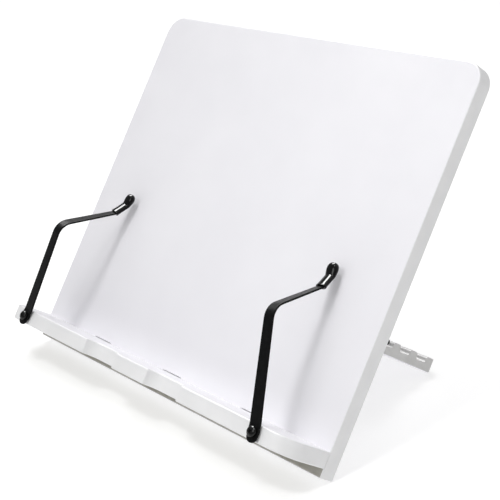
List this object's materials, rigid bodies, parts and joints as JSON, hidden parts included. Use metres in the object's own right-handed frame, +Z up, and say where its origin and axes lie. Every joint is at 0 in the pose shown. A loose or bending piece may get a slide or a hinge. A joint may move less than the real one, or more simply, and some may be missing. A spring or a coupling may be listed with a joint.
{
  "type": "portable drawing board",
  "caption": "White tilted drawing and reading board with a front ledge, two black page arms that swing, and a rear flap propped by a wire bail.",
  "frame": {"origin": "centre of the footprint, on the surface that the board stands on", "axes": "+X to the right along the ledge, +Y to the back, +Z up; the panel leans back 30 degrees"},
  "size_m": [0.276, 0.1944, 0.2133],
  "materials": {
    "white_laminate": "smooth white melamine laminate on fibreboard, low satin sheen",
    "black_steel": "black powder coat, satin",
    "black_plastic": "glossy black moulded cap",
    "plated_steel": "bright zinc plate",
    "brass": "machined"
  },
  "bodies": {
    "board": {"board_panel": "white_laminate", "front_ledge": "white_laminate", "ledge_screw_1": "plated_steel", "ledge_screw_2": "plated_steel", "ledge_screw_3": "plated_steel", "hinge_panel_screw_1": "plated_steel", "hinge_panel_screw_2": "plated_steel", "hinge_panel_screw_3": "plated_steel", "hinge_panel_screw_4": "plated_steel", "bail_clip_screw_1": "plated_steel", "bail_clip_screw_2": "plated_steel", "bail_clip_screw_3": "plated_steel", "bail_clip_screw_4": "plated_steel", "left_arm_washer": "black_steel", "left_arm_screw": "black_steel", "left_arm_insert": "brass", "left_hinge_panel_leaf": "plated_steel", "left_hinge_pin": "plated_steel", "left_bail_clip": "plated_steel", "right_arm_washer": "black_steel", "right_arm_screw": "black_steel", "right_arm_insert": "brass", "right_hinge_panel_leaf": "plated_steel", "right_hinge_pin": "plated_steel", "right_bail_clip": "plated_steel"},
    "flap": {"rear_flap": "white_laminate", "left_hinge_flap_leaf": "plated_steel", "right_hinge_flap_leaf": "plated_steel", "hinge_flap_screw_1": "plated_steel", "hinge_flap_screw_2": "plated_steel", "hinge_flap_screw_3": "plated_steel", "hinge_flap_screw_4": "plated_steel"},
    "bail": {"wire_bail": "black_steel"},
    "left_arm": {"left_arm": "black_steel", "left_arm_tip": "black_plastic"},
    "right_arm": {"right_arm": "black_steel", "right_arm_tip": "black_plastic"}
  },
  "joints": [
    {"name": "flap_hinge", "type": "hinge", "parent": "board", "child": "flap", "pos_m": [0, -0.01238, 0.07439], "axis": [1, 0, 0], "range_deg": [0, 90]},
    {"name": "bail_pivot", "type": "hinge", "parent": "board", "child": "bail", "pos_m": [0, -0.00062, 0.09376], "axis": [1, 0, 0], "range_deg": [0, 111.4]},
    {"name": "left_arm_pivot", "type": "hinge", "parent": "board", "child": "left_arm", "pos_m": [-0.114, -0.09382, 0.03233], "axis": [0, -0.866, 0.5], "range_deg": [-60, 70]},
    {"name": "right_arm_pivot", "type": "hinge", "parent": "board", "child": "right_arm", "pos_m": [0.114, -0.09382, 0.03233], "axis": [0, -0.866, 0.5], "range_deg": [-70, 60]}
  ],
  "couplings": [
    {"joint": "bail_pivot", "follows": "flap_hinge", "ratio": 1.2317}
  ]
}
